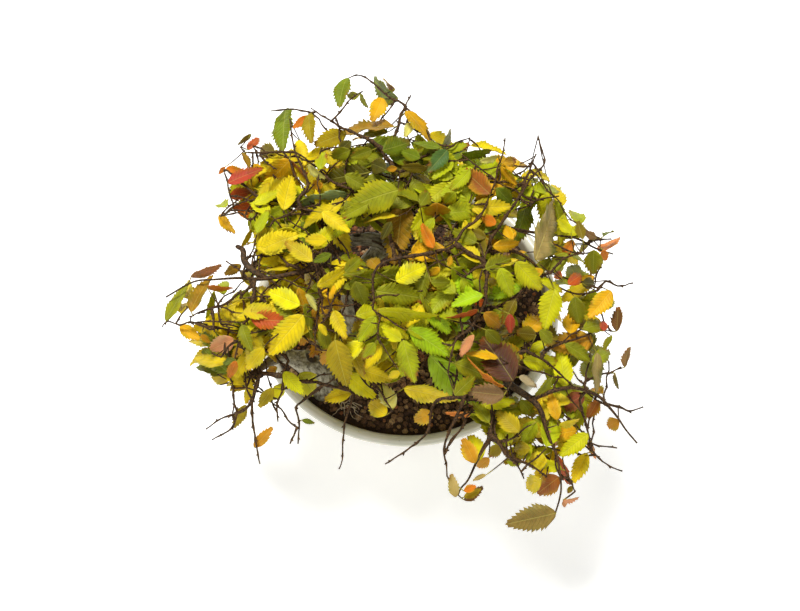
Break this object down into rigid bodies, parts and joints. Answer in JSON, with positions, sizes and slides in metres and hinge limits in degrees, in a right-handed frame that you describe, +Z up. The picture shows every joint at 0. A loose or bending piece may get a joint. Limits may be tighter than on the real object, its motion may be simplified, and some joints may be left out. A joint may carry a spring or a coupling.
{
  "type": "potted bonsai tree",
  "caption": "Small zelkova bonsai in autumn leaf, with a leaning trunk and a wide spreading crown, planted in a round glazed bowl with drainage.",
  "frame": {"origin": "centre of the pot's flat base, on the surface that the pot stands on", "axes": "+Z up along the pot's axis; +Y away from the side that the reference view is taken from; +X to that view's right"},
  "size_m": [0.3053, 0.3051, 0.2253],
  "materials": {
    "glaze": "gloss",
    "soil": "matte",
    "net": "satin",
    "bark": "matte",
    "leaf_yellow": "satin",
    "leaf_lime": "satin",
    "leaf_olive": "satin",
    "leaf_amber": "satin"
  },
  "bodies": {
    "root": {"pot": "glaze", "soil": "soil", "drain_net_1": "net", "drain_net_2": "net", "wood": "bark", "spray_01": "leaf_yellow", "spray_02": "leaf_yellow", "spray_03": "leaf_amber", "spray_04": "leaf_olive", "spray_05": "leaf_amber", "spray_06": "leaf_yellow", "spray_07": "leaf_yellow", "spray_08": "leaf_lime", "spray_09": "leaf_olive", "spray_10": "leaf_lime", "spray_11": "leaf_lime", "spray_12": "leaf_olive", "spray_13": "leaf_yellow", "spray_14": "leaf_yellow", "spray_15": "leaf_olive", "spray_16": "leaf_amber", "spray_17": "leaf_amber", "spray_18": "leaf_olive"}
  },
  "joints": []
}
